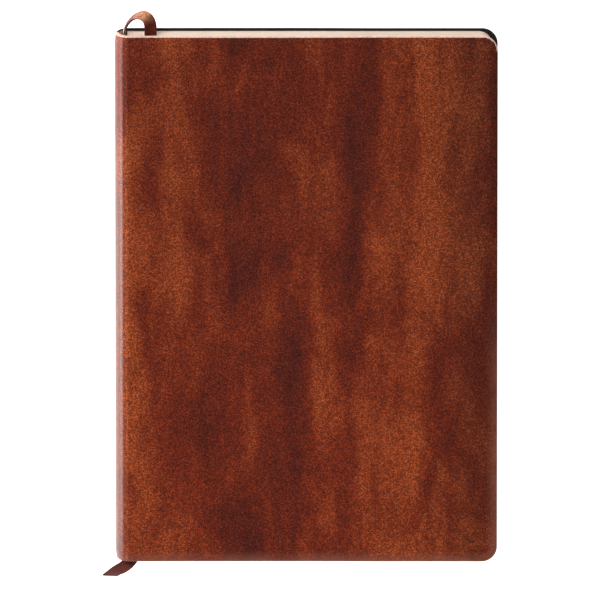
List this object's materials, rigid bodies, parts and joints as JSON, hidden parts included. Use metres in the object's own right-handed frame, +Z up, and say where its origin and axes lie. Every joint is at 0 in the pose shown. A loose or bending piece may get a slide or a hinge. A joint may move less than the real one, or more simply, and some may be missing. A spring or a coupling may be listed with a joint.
{
  "type": "leather notebook cover",
  "caption": "Soft brown leather notebook cover, black lined, wrapped round a sewn block of cream pages, with a flat leather bookmark lace at the spine.",
  "frame": {"origin": "middle of the back cover's outer face, on the surface that the closed notebook lies on", "axes": "+Z up through the front cover, +Y from foot to head, +X from spine to fore-edge"},
  "size_m": [0.1518, 0.2277, 0.015],
  "materials": {
    "leather": "mottled antique brown pull-up leather, satin, with pale raw-cut edges",
    "lining": "matte black bonded lining",
    "strip": "plain brown split leather",
    "paper": "cream uncoated paper, cut edges",
    "thread": "waxed linen thread",
    "gauze": "open-weave binder's gauze, glued",
    "lace": "flat tan leather lace with darker dyed faces"
  },
  "bodies": {
    "back": {"back_cover": "leather", "back_lining": "lining", "first_section_fold": "paper", "section_2": "paper", "section_3": "paper", "section_4": "paper", "section_5": "paper", "section_6": "paper", "section_7": "paper", "sewing_thread": "thread", "spine_gauze": "gauze", "bookmark_tab": "lace", "bookmark_lace": "lace"},
    "spine": {"spine_leather": "leather", "spine_lining": "lining", "spine_strip": "strip"},
    "front": {"front_cover": "leather", "front_lining": "lining"},
    "first_leaves": {"leaves_1": "paper"},
    "second_leaves": {"leaves_2": "paper"},
    "third_leaves": {"leaves_3": "paper"}
  },
  "joints": [
    {"name": "spine_lean", "type": "hinge", "parent": "back", "child": "spine", "pos_m": [-0.07, 0, 0], "axis": [0, -1, 0], "range_deg": [0, 60]},
    {"name": "cover_open", "type": "hinge", "parent": "spine", "child": "front", "pos_m": [-0.07, 0, 0.015], "axis": [0, -1, 0], "range_deg": [0, 122]},
    {"name": "first_leaves_turn", "type": "hinge", "parent": "back", "child": "first_leaves", "pos_m": [-0.06495, 0, 0.01295], "axis": [0, -1, 0], "range_deg": [0, 110]},
    {"name": "second_leaves_turn", "type": "hinge", "parent": "back", "child": "second_leaves", "pos_m": [-0.06495, 0, 0.01295], "axis": [0, -1, 0], "range_deg": [0, 80]},
    {"name": "third_leaves_turn", "type": "hinge", "parent": "back", "child": "third_leaves", "pos_m": [-0.06495, 0, 0.01295], "axis": [0, -1, 0], "range_deg": [0, 50]}
  ],
  "couplings": [
    {"joint": "first_leaves_turn", "follows": "cover_open", "ratio": 0.9},
    {"joint": "second_leaves_turn", "follows": "cover_open", "ratio": 0.65},
    {"joint": "third_leaves_turn", "follows": "cover_open", "ratio": 0.4}
  ]
}
